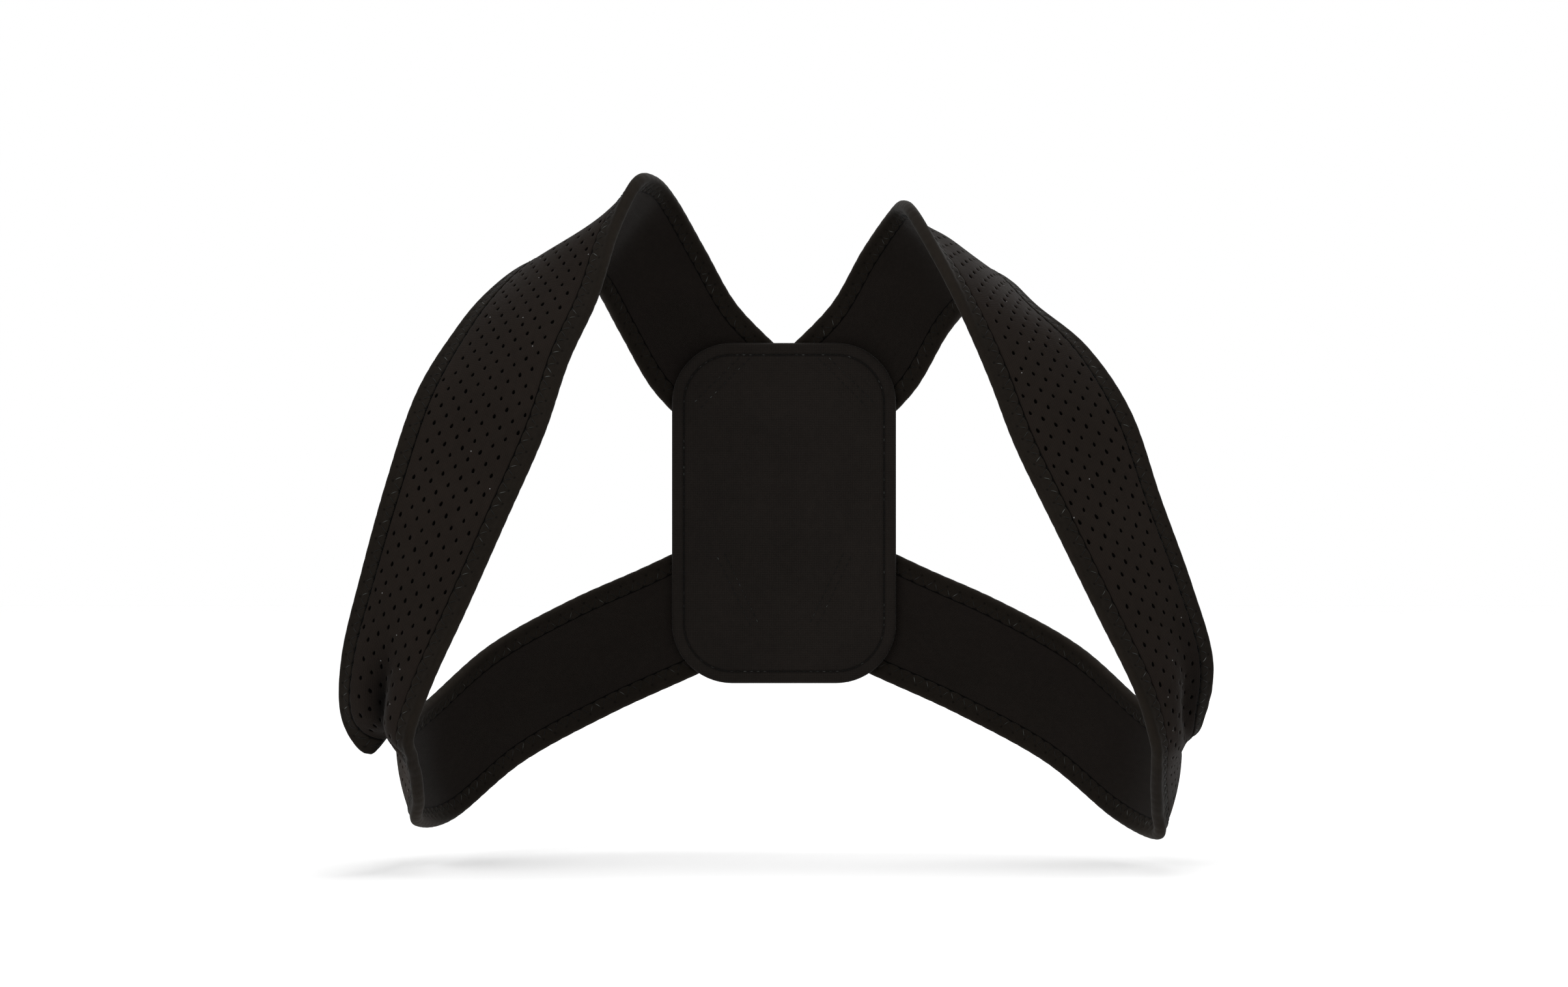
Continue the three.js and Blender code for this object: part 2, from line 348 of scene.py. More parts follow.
class StrapSurface:
    """The middle surface of a strap. A place counts rows along it, a share runs from -1 to 1 across it."""

    def __init__(self, side, rows, folds):
        self.rows = np.array(rows, float)
        self.folds = folds
        self.last = len(rows) - 1
        self.turn = np.array([side, 1, 1], float)
        self.places = np.linspace(0, self.last, ROUTE_SAMPLES)
        self.travel = travelled(self.centre(self.places))
        self.length = self.travel[-1]
        self.seams = {edge: SeamLine(self, edge) for edge in EDGES.values()}

    def section(self, place):
        """The row at a place, on a smooth curve through all of the rows."""
        low = np.clip(np.floor(place).astype(int), 0, self.last - 1)
        f = (place - low)[..., None]
        a, b, c, d = (self.rows[np.clip(low + k, 0, self.last)] for k in (-1, 0, 1, 2))
        return b + 0.5 * f * (c - a + f * (2 * a - 5 * b + 4 * c - d + f * (3 * (b - c) + d - a)))

    def centre(self, place):
        row = self.section(place)
        return (row[..., INNER_EDGE] + row[..., OUTER_EDGE]) / 2

    def across(self, place):
        row = self.section(place)
        return row[..., OUTER_EDGE] - row[..., INNER_EDGE]

    def width(self, place):
        return np.linalg.norm(self.across(place), axis=-1)

    def from_edge(self, place, share):
        return self.width(place) / 2 * (1 - np.abs(share))

    def place_at(self, distance):
        return np.interp(distance, self.travel, self.places)

    def along(self, place, reach):
        before = np.clip(place - reach, 0, self.last)
        after = np.clip(place + reach, 0, self.last)
        return (self.centre(after) - self.centre(before)) / (after - before)[..., None]

    def facing(self, place):
        return unit(np.cross(self.along(place, FACING_REACH), self.across(place)))

    def middle(self, place, share):
        row = self.section(place)
        height = row[..., CROWN] * (1 - share**2)
        for at, side, depth, spread_along, spread_across in self.folds:
            height = height + depth * bump_at(place, at, spread_along) * bump_at(share, side, spread_across)
        outer = ((share + 1) / 2)[..., None]
        straight = row[..., INNER_EDGE] * (1 - outer) + row[..., OUTER_EDGE] * outer
        return straight + self.facing(place) * height[..., None]

    def normal(self, place, share):
        before = np.clip(place - NORMAL_REACH, 0, self.last)
        after = np.clip(place + NORMAL_REACH, 0, self.last)
        along = self.middle(after, share) - self.middle(before, share)
        across = self.middle(place, share + NORMAL_REACH) - self.middle(place, share - NORMAL_REACH)
        return unit(np.cross(along, across))

    def point(self, place, share, height):
        """Points at a height over the middle surface, on the strap's own side of the wearer."""
        place, share, height = np.broadcast_arrays(place, share, height)
        over = self.normal(place, share) * height[..., None]
        return (self.middle(place, share) + over) * self.turn

    def lean(self, place):
        """How many rows a line turns, from the middle to the outer edge, to lie square across."""
        along = self.along(place, LEAN_REACH)
        turn = -np.sum(along * self.across(place), axis=-1) / (2 * np.sum(along * along, axis=-1))
        from_end = np.clip(np.minimum(place, self.last - place), 0, 1)
        return np.clip(turn, -LEAN_LIMIT, LEAN_LIMIT) * from_end

    def square(self, distance, offset):
        """The place and share at a distance along and an offset square across, inside the rim."""
        middle = self.place_at(distance)
        lean = self.lean(middle)
        place = middle
        for _ in range(LEAN_ROUNDS):
            share = 2 * offset / self.width(place)
            place = np.clip(middle + lean * share, 0, self.last)
        limit = 1 - 2 * RIM_INSET / self.width(place)
        return place, np.clip(share, -limit, limit)

    def phase(self, place, share):
        """How many stitches lie before a place, along the nearer seam."""
        return np.where(share < 0, self.seams[-1].phase(place), self.seams[1].phase(place))


class SeamLine:
    """The line along one edge where the tape ends on the foam, and along which it is zigzag sewn."""

    def __init__(self, surface, edge):
        share = edge * (1 - 2 * TAPE_WIDTH / surface.width(surface.places))
        self.places = surface.places
        self.travel = travelled(surface.middle(surface.places, share))
        self.length = self.travel[-1]
        self.stitches = round(self.length / STITCH_PERIOD)
        self.pitch = self.length / self.stitches

    def phase(self, place):
        return np.interp(place, self.places, self.travel) / self.pitch

    def place_at(self, phase):
        return np.interp(phase * self.pitch, self.travel, self.places)


def pinch(phase):
    """1 where the needle goes in, once for each stitch, and near 0 between."""
    return (0.5 + 0.5 * np.cos(2 * math.pi * phase)) ** PINCH_POWER


def painted_light_at(name, place, share):
    """Painted light and shade on a strap's cloth: 1 where plain, less in creases, more under the arms."""
    shade = np.ones(share.shape)
    for at, side, change, spread_along, spread_across in PAINTED_LIGHT_AND_SHADE[name]:
        shade *= 1 + change * bump_at(place, at, spread_along) * bump_at(share, side, spread_across)
    return shade


def foam_height(from_edge, phase):
    """How high the foam's face stands: the seam draws it down beside the tape, most at each stitch."""
    held = 1 / (1 + np.exp((from_edge - TAPE_WIDTH + HELD_INSIDE) / HELD_BLUR))
    beside = hollow(from_edge, *FOAM_GROOVE) * (1 - held)
    drawn = hollow(from_edge, *FOAM_DRAWN) * pinch(phase)
    return FOAM_HALF - (FOAM_HALF - FOAM_HELD) * held - beside - drawn


def tape_height(from_edge, phase):
    """How high the tape's skin stands: flat under its stitches and full along its fold."""
    full = FULL_HEIGHT * (1 - bump_at(np.minimum(from_edge, FULL_FROM), FULL_FROM, FULL_SPREAD))
    turned = np.clip(1 - from_edge / FOLD_REACH, 0, 1)
    fold = FOLD_DROP * (1 - np.sqrt(1 - turned**FOLD_POWER))
    near = hollow(from_edge, *TAPE_NEAR) * pinch(phase)
    far = hollow(from_edge, *TAPE_FAR) * pinch(phase + BETWEEN_STITCHES)
    return TAPE_FLAT + full - fold - near - far


def make_piece(name, points, faces, materials, face_materials=None, weave=None, layout=None):
    """A smooth mesh object from points in millimetres, with its weave coordinates and its map."""
    mesh = bpy.data.meshes.new(name)
    mesh.from_pydata((np.asarray(points) * MM).tolist(), [], faces)
    if weave is not None:
        attribute = mesh.attributes.new("weave", "FLOAT_VECTOR", "POINT")
        attribute.data.foreach_set("vector", (np.asarray(weave) * MM).astype(np.float32).ravel())
    if layout is not None:
        mesh.uv_layers.new(name="OFBake").uv.foreach_set("vector", np.asarray(layout, np.float32).ravel())
    if face_materials is not None:
        mesh.polygons.foreach_set("material_index", np.asarray(face_materials, np.int32))
    work = bmesh.new()
    work.from_mesh(mesh)
    bmesh.ops.recalc_face_normals(work, faces=work.faces)
    work.to_mesh(mesh)
    work.free()
    mesh.shade_smooth()
    for material in materials:
        mesh.materials.append(material)
    piece = bpy.data.objects.new(name, mesh)
    bpy.context.scene.collection.objects.link(piece)
    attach(piece, "root")
    return piece


def set_values(piece, name, values):
    """One number for each vertex, for the piece's material."""
    attribute = piece.data.attributes.new(name, "FLOAT", "POINT")
    attribute.data.foreach_set("value", np.asarray(values, np.float32))


def grid_faces(ids):
    """The quads of a grid of vertex numbers, still in rows and columns."""
    return np.stack([ids[:-1, :-1], ids[:-1, 1:], ids[1:, 1:], ids[1:, :-1]], axis=-1)


def quads(ids):
    return grid_faces(ids).reshape(-1, 4).tolist()


def closed_quads(ids):
    """The quads of a grid whose last column joins its first."""
    return quads(np.c_[ids, ids[:, :1]])


def strip_layout(faces, along, across, strips, strip_length, first_strip, all_strips):
    """Places on the map for the corners of faces, in strips that lie side by side."""
    places = []
    for face in faces:
        strip = min(int((min(along[v] for v in face) + STRIP_SLACK) // strip_length), strips - 1)
        for v in face:
            u = along[v] / strip_length - strip
            places.append((u, (first_strip + strip + across[v]) / all_strips))
    return places


def foam_columns(surface, distance):
    """Offsets of the outer face's columns on one side of the middle, for each row."""
    groove = surface.width(surface.place_at(distance)) / 2 - GROOVE_COLUMNS[0]
    number = np.arange(1, HALF_COLUMNS + 1)
    packed = groove[:, None] - COLUMN_GAP * (HALF_COLUMNS + 1 - number)
    inside = np.minimum(number * CELL_ACROSS / 2, packed)
    past = groove[:, None] + GROOVE_COLUMNS[0] - np.array(GROOVE_COLUMNS)
    return np.c_[inside, past]


def inner_columns(side):
    """Offsets of the inner face's few columns, from one edge to the other, for each row."""
    rim, held, groove = side[:, -1], side[:, -3], side[:, HALF_COLUMNS]
    half = np.c_[rim, held, groove, groove / 2]
    return np.c_[-half, np.zeros(len(side)), half[:, ::-1]]


def hole_cells(cells, columns):
    """The cell rows and columns that hold a hole, in a staggered pattern clear of the seams."""
    found = []
    for cell in range(END_CELLS, cells - END_CELLS):
        for column in range(-SIDE_CELLS, SIDE_CELLS + 1):
            room = columns[2 * cell : 2 * cell + 3, 2 * abs(column)] - abs(column) * CELL_ACROSS
            if (cell + column) % 2 == 0 and room.min() > HOLE_ROOM:
                found.append((cell, column))
    return np.array(found)


def hole_rings(holes, step):
    """Each hole's rings laid flat, from its lip to its foot, as distance, offset and depth."""
    angle = FIRST_CORNER + 2 * math.pi * np.arange(HOLE_POINTS) / HOLE_POINTS
    size = rng.uniform(1 - HOLE_VARIES, 1 + HOLE_VARIES, (len(holes), 1))
    tilt = rng.uniform(-HOLE_TILT, HOLE_TILT, (len(holes), 1))
    long_way = size * HOLE_ALONG * np.sin(angle)
    short_way = size * HOLE_ACROSS * np.cos(angle) * (1 + HOLE_TAPER * np.sin(angle))
    rings = []
    for scale, sunk in HOLE_RINGS:
        along = step * (2 * holes[:, :1] + 1) + scale * (long_way - tilt * short_way)
        across = CELL_ACROSS * holes[:, 1:] + scale * (short_way + tilt * long_way)
        rings.append(np.stack([along, across, np.full(along.shape, sunk)], axis=-1))
    return np.stack(rings)


def hole_faces(rim, rings, bottom):
    """Faces from the square rim of a cell to a hole's core, and those of its wall and its bottom."""
    lip, edge, foot = rings
    around = []
    for quarter in range(4):
        a, b, c = rim[2 * quarter], rim[2 * quarter + 1], rim[(2 * quarter + 2) % len(rim)]
        r = [lip[(HOLE_POINTS // 4 * quarter + k) % HOLE_POINTS] for k in range(4)]
        around += [(a, r[0], r[1]), (a, r[1], b), (b, r[1], r[2]), (b, r[2], c), (c, r[2], r[3])]
    inside = []
    for k in range(HOLE_POINTS):
        after = (k + 1) % HOLE_POINTS
        around.append((lip[k], lip[after], edge[after], edge[k]))
        inside.append((edge[k], edge[after], foot[after], foot[k]))
    inside += [(foot[k], foot[(k + 1) % HOLE_POINTS], bottom) for k in range(HOLE_POINTS)]
    return around, inside


def perforated_face(distance, side):
    """The outer face laid flat: its grid, its points as distance, offset and depth, its faces and slots."""
    offset = np.c_[-side[:, ::-1], np.zeros(len(side)), side]
    middle = offset.shape[1] // 2
    grid = np.arange(offset.size).reshape(offset.shape)
    holes = hole_cells(len(distance) // 2, side)
    rings = hole_rings(holes, distance[1])
    ring_ids = grid.size + np.arange(rings[..., 0].size).reshape(rings.shape[:3])
    plain = np.ones((len(distance) - 1, offset.shape[1] - 1), bool)
    depth = np.zeros(offset.shape)
    hole_parts = []
    for number, (cell, column) in enumerate(holes):
        row, centre = 2 * cell + 1, middle + 2 * column
        plain[row - 1 : row + 1, centre - 1 : centre + 1] = False
        depth[row, centre] = HOLE_DEPTH
        rim = [grid[row + r, centre + c] for r, c in CELL_RIM]
        hole_parts.append(hole_faces(rim, ring_ids[:, number], grid[row, centre]))
    faces = grid_faces(grid)[plain].tolist()
    slots = [FACE] * len(faces)
    for around, inside in hole_parts:
        faces += around + inside
        slots += [FACE] * len(around) + [CORE_SHADE] * len(inside)
    along = np.repeat(distance[:, None], offset.shape[1], axis=1)
    flat = np.r_[np.stack([along, offset, depth], axis=-1).reshape(-1, 3), rings.reshape(-1, 3)]
    return grid, flat, faces, slots


def make_foam(strap, surface, materials):
    """A foam strap: a perforated outer face, a plain inner face and the rim between them."""
    name = strap["name"]
    cells = round(surface.length / CELL_ALONG)
    distance = np.linspace(0, surface.length, 2 * cells + 1)
    side = foam_columns(surface, distance)
    outer, flat, faces, slots = perforated_face(distance, side)
    outer_count = len(faces)
    place, share = surface.square(flat[:, 0], flat[:, 1])
    from_edge = surface.from_edge(place, share)
    height = foam_height(from_edge, surface.phase(place, share)) - flat[:, 2]

    inner_offset = inner_columns(side)
    inner = len(flat) + np.arange(inner_offset.size).reshape(inner_offset.shape)
    inner_along = np.repeat(distance, inner_offset.shape[1])
    inner_place, inner_share = surface.square(inner_along, inner_offset.ravel())
    inner_edge = surface.from_edge(inner_place, inner_share)
    inner_height = -foam_height(inner_edge, BETWEEN_STITCHES)
    faces += quads(inner)
    faces += quads(np.c_[outer[:, 0], inner[:, 0]])
    faces += quads(np.c_[inner[:, -1], outer[:, -1]])
    faces += [tuple(outer[k]) + tuple(inner[k, ::-1]) for k in (0, -1)]
    slots += [INSIDE] * (len(faces) - outer_count)

    outer_points = surface.point(place, share, height)
    inner_points = surface.point(inner_place, inner_share, inner_height)
    outer_weave = np.c_[flat[:, :2], from_edge - TAPE_WIDTH]
    inner_weave = np.c_[inner_along, inner_offset.ravel(), inner_edge - TAPE_WIDTH]
    weave = np.r_[outer_weave, inner_weave]
    along = weave[:, 0]
    across = 0.5 + weave[:, 1] / FOAM_MAP_WIDTH
    edge_across = across.copy()
    edge_across[outer[:, [0, -1]]] += np.array([-FOAM_MAP_MARGIN, FOAM_MAP_MARGIN]) / FOAM_MAP_WIDTH
    strips = FOAM_STRIPS
    length = distance[1] * 2 * math.ceil(cells / strips)
    layout = strip_layout(faces[:outer_count], along, across, strips, length, 0, 2 * strips)
    layout += strip_layout(faces[outer_count:], along, edge_across, strips, length, strips, 2 * strips)

    points = np.r_[outer_points, inner_points]
    piece = make_piece(f"foam_strap_{name}", points, faces, materials, slots, weave, layout)
    # The strap's painted light and shade, for its material.
    set_values(piece, "shade", painted_light_at(name, np.r_[place, inner_place], np.r_[share, inner_share]))
    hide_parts(f"strap_{name}")
    return piece


def tape_section(phase):
    """The section of a tape at each step: distances from the edge and heights, all round its wall."""
    raw = RAW_EDGE - RAW_DRAWN * pinch(phase)
    level = np.ones(len(phase))
    from_edge = [raw - RAW_FOOT, raw, raw - RAW_ROUND, raw - RAW_TOP] + [x * level for x in TAPE_SKIN]
    height = [RAW_FOOT_UP * level, RAW_SIDE_UP * level, tape_height(from_edge[2], phase) - RAW_ROUND]
    height += [tape_height(x, phase) for x in from_edge[3:]]
    from_edge = from_edge + [0 * level] + from_edge[::-1]
    height = height + [0 * level] + [-h for h in height[::-1]]
    for x, h in TAPE_CAVITY + [(x, -h) for x, h in TAPE_CAVITY[::-1]]:
        from_edge.append(x * level)
        height.append(-h * level)
    return np.stack(from_edge, axis=1), np.stack(height, axis=1)


def make_tape(strap, surface, edge_name, materials):
    """The tape that is folded over one edge of a strap, with its raw edge drawn in at each stitch."""
    edge = EDGES[edge_name]
    name = f"{strap['name']}_{edge_name}"
    seam = surface.seams[edge]
    phase = np.arange(seam.stitches * TAPE_STEPS + 1) / TAPE_STEPS
    place = seam.place_at(phase)
    from_edge, height = tape_section(phase)
    ripple = WAVE_HEIGHT * (pinch(phase) - WAVE_MIDDLE) * (WAVE_LEAST + WAVE_RANGE * rng.random(len(phase)))
    for at, size, spread in WRINKLES.get(name, []):
        ripple = ripple - size * bump_at(place, at, spread)
    wave = ripple[:, None] * bump_at(from_edge, 0, WAVE_SPREAD)
    share = edge * (1 - 2 * (from_edge + wave) / surface.width(place)[:, None])
    points = surface.point(place[:, None], share, height)
    ids = np.arange(height.size).reshape(height.shape)
    faces = closed_quads(ids) + [tuple(ids[0]), tuple(ids[-1])]
    girth = travelled(np.stack([from_edge[3], height[3]], axis=1))
    along = np.repeat(phase * STITCH_PERIOD, len(girth))
    around = np.tile(girth, len(phase))
    weave = np.c_[along, around, from_edge.ravel()]
    length = math.ceil(seam.stitches / TAPE_STRIPS) * STITCH_PERIOD
    across = around / (girth[-1] + TAPE_MAP_MARGIN)
    layout = strip_layout(faces, along, across, TAPE_STRIPS, length, 0, TAPE_STRIPS)
    piece = make_piece(f"edge_tape_{name}", points.reshape(-1, 3), faces, materials, None, weave, layout)
    # The strap's painted light and shade, carried onto its tape.
    set_values(piece, "shade", painted_light_at(strap["name"], place[:, None], share).ravel())
    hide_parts(f"binding_{name}")
    return piece


def tube_mesh(paths, lifts, radius):
    """Points and faces of round tubes along paths. A lift points away from what the tube lies on."""
    count, steps = paths.shape[:2]
    tangent = unit(np.gradient(paths, axis=1))
    sideways = unit(np.cross(tangent, lifts))
    upward = np.cross(sideways, tangent)
    angle = 2 * math.pi * np.arange(THREAD_SIDES) / THREAD_SIDES
    ring = np.cos(angle)[:, None] * sideways[:, :, None] + np.sin(angle)[:, None] * upward[:, :, None]
    points = paths[:, :, None] + radius * ring
    ids = np.arange(points[..., 0].size).reshape(count, steps, THREAD_SIDES)
    faces = []
    for tube in ids:
        faces += closed_quads(tube) + [tuple(tube[0]), tuple(tube[-1])]
    return points.reshape(-1, 3), faces


def add_thread(name, paths, lifts, material):
    """Sewn thread: a short tube for each stitch, each with its own painted glint in its middle."""
    points, faces = tube_mesh(paths, lifts, THREAD_RADIUS)
    piece = make_piece(name, points, faces, [material])
    part = np.linspace(-1, 1, THREAD_POINTS)
    shine = rng.uniform(0, 1, (len(paths), 1)) * (1 - part**2)
    set_values(piece, "shine", np.repeat(shine.ravel(), THREAD_SIDES))
    return piece


def make_zigzag(strap, surface, edge_name, material):
    """Zigzag stitches that hold a tape, on the strap's outer face and on its inner face."""
    edge = EDGES[edge_name]
    seam = surface.seams[edge]
    number = np.arange(1, 2 * seam.stitches - 1)[:, None]
    part = np.linspace(0, 1, THREAD_POINTS)
    reach = np.where(number % 2 == 0, part, 1 - part)
    stray = rng.uniform(-STITCH_STRAY, STITCH_STRAY, number.shape)
    from_edge = STITCH_NEAR + (STITCH_FAR - STITCH_NEAR) * reach + stray
    phase = number / 2 + part / 2
    place = seam.place_at(phase)
    share = edge * (1 - 2 * from_edge / surface.width(place))
    sunk = STITCH_SUNK * (2 * part - 1) ** 2
    height = tape_height(np.minimum(from_edge, SEWN_TO), phase) + STITCH_LIFT - sunk
    normal = surface.normal(place, share) * surface.turn
    paths = np.r_[surface.point(place, share, height), surface.point(place, share, -height)]
    lifts = np.r_[normal, -normal]
    return add_thread(f"zigzag_{strap['name']}_{edge_name}", paths, lifts, material)


def panel_ring(inset):
    """Points of the panel's outline, moved in by an inset, as places across and up."""
    radius = max(PANEL_CORNER - inset, PANEL_LEAST_RADIUS)
    right = PANEL_WIDTH / 2 - inset - radius
    top = PANEL_HEIGHT / 2 - inset - radius
    arcs = []
    for corner, (x, z) in enumerate([(right, top), (-right, top), (-right, -top), (right, -top)]):
        turn = math.pi / 2 * (corner + np.arange(PANEL_ARC_POINTS) / (PANEL_ARC_POINTS - 1))
        arcs.append(np.stack([x + radius * np.cos(turn), z + radius * np.sin(turn)], axis=1))
    share = np.arange(1, PANEL_SIDE_POINTS)[:, None] / PANEL_SIDE_POINTS
    ring = []
    for arc, after in zip(arcs, arcs[1:] + arcs[:1]):
        ring += [arc, arc[-1] + share * (after[0] - arc[-1])]
    return np.concatenate(ring)


def panel_face(face, inset):
    """How far back a face of the panel lies: a rounded rim, a sewn line along the hem, a soft middle."""
    half = PANEL_THICKNESS / 2
    rim = half * np.sqrt(1 - (1 - np.minimum(inset / half, 1)) ** 2)
    sewn = HEM_DEPTH * bump_at(inset, HEM, HEM_SPREAD)
    soft = SWELL[face] * (1 - np.exp(-np.maximum(inset - HEM, 0) / SWELL_REACH))
    return PANEL_LOW[1] + half + face * (rim - sewn + soft)


def panel_inset(x, z):
    """How far a point lies inside the panel's outline."""
    past_side = np.abs(x) - PANEL_WIDTH / 2 + PANEL_CORNER
    past_end = np.abs(z - PANEL_UP) - PANEL_HEIGHT / 2 + PANEL_CORNER
    past = np.stack([past_side, past_end])
    corner = np.linalg.norm(np.maximum(past, 0), axis=0)
    return PANEL_CORNER - corner - np.minimum(past.max(axis=0), 0)


def make_panel(materials):
    """The panel that joins the straps at the back: a padded sheet with a rounded rim and a sewn hem."""
    rings = [panel_ring(inset) for inset in PANEL_RINGS]
    count = len(rings[0])
    points = []
    weave = []
    for face in (1, -1):
        for inset, ring in zip(PANEL_RINGS, rings):
            back = np.full(count, panel_face(face, inset))
            points.append(np.c_[ring[:, 0], back, ring[:, 1] + PANEL_UP])
            weave.append(np.c_[ring, np.full(count, inset)])
    ids = np.arange(2 * len(rings) * count).reshape(2, len(rings), count)
    ids[1, 0] = ids[0, 0]
    faces = []
    for face in ids:
        faces += closed_quads(face) + [tuple(face[-1])]
    per_side = len(faces) // 2
    flat = np.concatenate(weave)
    layout = []
    for number, face in enumerate(faces):
        for v in face:
            across = 0.5 + flat[v, 0] / (PANEL_MAP_WIDER * PANEL_WIDTH)
            up = 0.5 + flat[v, 1] / (PANEL_MAP_TALLER * PANEL_HEIGHT)
            layout.append(((across + (number >= per_side)) / 2, up))
    piece = make_piece("panel", np.concatenate(points), faces, materials, None, flat, layout)
    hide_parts("back_panel")
    return piece


def make_lap_stitching(surfaces, material):
    """Straight rows of stitches that hold the straps on the panel, seen on both of its faces."""
    paths = []
    lifts = []
    part = np.linspace(0, 1, THREAD_POINTS)
    sunk = LAP_SUNK * np.abs(2 * part - 1) ** LAP_POWER
    for surface in surfaces:
        for row in LAP_ROWS:
            for distance in (row, surface.length - row):
                half = surface.width(surface.place_at(distance)) / 2 - TAPE_WIDTH - LAP_MARGIN
                starts = np.arange(-half, half - LAP_STITCH, LAP_STEP)[:, None]
                across = starts + LAP_STITCH * part
                place, share = surface.square(np.full(across.shape, distance), across)
                path = surface.point(place, share, FOAM_HALF + THREAD_LIFT - sunk)
                inset = panel_inset(path[..., 0], path[..., 2])
                kept = (inset > LAP_INSET).all(axis=1)
                path = path[kept]
                through = path.copy()
                through[..., 1] = panel_face(-1, inset[kept]) - LAP_UNDER + sunk
                paths += [path, through]
                lifts += [np.broadcast_to((0.0, face, 0), path.shape) for face in (1, -1)]
    return add_thread("lap_stitching", np.concatenate(paths), np.concatenate(lifts), material)


def make_hem_stitching(material):
    """One row of straight stitches along the panel's hem, on both of its faces."""
    line = panel_ring(HEM)
    line = np.r_[line, line[:1]]
    travel = travelled(line)
    count = round(travel[-1] / LAP_STEP)
    part = np.linspace(0, 1, THREAD_POINTS)
    distance = travel[-1] * (np.arange(count)[:, None] + part * LAP_STITCH / LAP_STEP) / count
    x = np.interp(distance, travel, line[:, 0])
    z = np.interp(distance, travel, line[:, 1]) + PANEL_UP
    over = THREAD_LIFT - HEM_SUNK * np.broadcast_to((2 * part - 1) ** HEM_POWER, x.shape)
    paths = [np.stack([x, panel_face(face, HEM) + face * over, z], axis=-1) for face in (1, -1)]
    lifts = [np.broadcast_to((0.0, face, 0), paths[0].shape) for face in (1, -1)]
    return add_thread("hem_stitching", np.concatenate(paths), np.concatenate(lifts), material)


class Shader:
    """One material's node tree. A value is a number, a colour or another node's output."""

    def __init__(self, name, **values):
        self.material = bpy.data.materials.new(name)
        self.material.use_nodes = True
        self.tree = self.material.node_tree
        self.surface = self.tree.nodes["Principled BSDF"]
        self.fill(self.surface, {key.replace("_", " "): value for key, value in values.items()})

    def fill(self, node, values):
        for key, value in values.items():
            socket = node.inputs[key]
            if isinstance(value, bpy.types.NodeSocket):
                self.tree.links.new(value, socket)
            else:
                socket.default_value = value

    def add(self, kind, values=None, output=0, **settings):
        node = self.tree.nodes.new("ShaderNode" + kind)
        for key, value in settings.items():
            setattr(node, key, value)
        self.fill(node, values or {})
        return node.outputs[output]

    def math(self, operation, *values):
        return self.add("Math", dict(enumerate(values)), operation=operation)

    def weave(self):
        return self.add("Attribute", attribute_name="weave", output="Vector")

    def number(self, name):
        """A number that the piece holds for each of its vertices."""
        return self.add("Attribute", attribute_name=name, output="Fac")

    def noise(self, vector, size):
        """A cloudy pattern from 0 to 1 whose clouds are about size millimetres across."""
        return self.add("TexNoise", {"Vector": vector, "Scale": 1 / (size * MM), "Detail": 2.0})

    def ribs(self, vector, pitch, direction, distortion):
        """Rounded ribs from 0 to 1, pitch millimetres apart."""
        scale = 2 * math.pi / (WAVE_BANDS * pitch * MM)
        values = {"Vector": vector, "Scale": scale, "Distortion": distortion}
        return self.add(
            "TexWave",
            {**values, "Detail": 1.0, "Detail Scale": 0.3},
            output="Fac",
            wave_type="BANDS",
            bands_direction=direction,
            wave_profile="SIN",
        )

    def cells(self, vector, size, output):
        """Scattered points on the flat weave, one in each cell of about size millimetres."""
        values = {"Vector": vector, "Scale": 1 / (size * MM)}
        return self.add("TexVoronoi", values, output=output, voronoi_dimensions="2D")

    def ramp(self, value, low, high, at_low, at_high):
        """A smooth change from one value to another while the input goes from low to high."""
        values = {"Value": value, "From Min": low, "From Max": high, "To Min": at_low, "To Max": at_high}
        return self.add("MapRange", values, interpolation_type="SMOOTHSTEP")

    def sum(self, terms):
        """1 plus the sum of amount times value, with each value taken about its middle of 0.5."""
        total = 1.0
        for amount, value in terms:
            total = self.math("MULTIPLY_ADD", value, amount, self.math("ADD", total, -amount / 2))
        return total

    def product(self, *values):
        total = values[0]
        for value in values[1:]:
            total = self.math("MULTIPLY", total, value)
        return total

    def tint(self, colour, brightness):
        return self.add("VectorMath", {0: colour, "Scale": brightness}, operation="SCALE")

    def finish(self, colour, brightness, height, depth, strength):
        bump = self.add("Bump", {"Height": height, "Distance": depth * MM, "Strength": strength})
        self.fill(self.surface, {"Base Color": self.tint(colour, brightness), "Normal": bump})
        return self.material


def knit_material(name, colour, rib, loop, lint, with_painted_light):
    """A fine knitted face: ribs across the strap, loops between them, a cloudy tone, some lint and painted
    shade.
    """
    shader = Shader(
        name, Roughness=0.92, Specular_IOR_Level=0.04, Sheen_Weight=0.05, Sheen_Roughness=0.25
    )
    flat = shader.weave()
    ribs = shader.ribs(flat, pitch=rib, direction="X", distortion=1.2)
    loops = shader.ribs(flat, pitch=loop, direction="Y", distortion=2.0)
    grain = shader.noise(flat, size=0.5)
    mottle = shader.noise(flat, size=4)
    cloud = shader.noise(flat, size=40)
    brightness = shader.sum([(0.5, ribs), (0.22, loops), (0.4, grain), (0.3, mottle), (0.35, cloud)])
    spots = shader.cells(flat, LINT_CELL, "Distance")
    chance = shader.add("SeparateColor", {0: shader.cells(flat, LINT_CELL, "Color")})
    picked = shader.math("GREATER_THAN", chance, LINT_CHANCE)
    speck = shader.product(shader.ramp(spots, low=0.012, high=0.026, at_low=1.0, at_high=0.0), picked)
    # Painted shade in the groove beside the tape: the face is darker near the seam.
    edge = shader.add("SeparateXYZ", {0: flat}, output="Z")
    beside = shader.ramp(edge, low=0.3 * MM, high=0.95 * MM, at_low=0.12, at_high=1.0)
    brightness = shader.product(brightness, beside)
    # Painted shade in creases and painted light under the arms, from the strap's shade values.
    if with_painted_light:
        brightness = shader.product(brightness, shader.number("shade"))
    values = {0: speck, 1: (lint, lint, lint), 2: colour}
    specked = shader.add("VectorMath", values, operation="MULTIPLY_ADD")
    height = shader.sum([(0.7, ribs), (0.4, loops), (0.6, grain)])
    return shader.finish(specked, brightness, height, depth=0.14, strength=0.7)


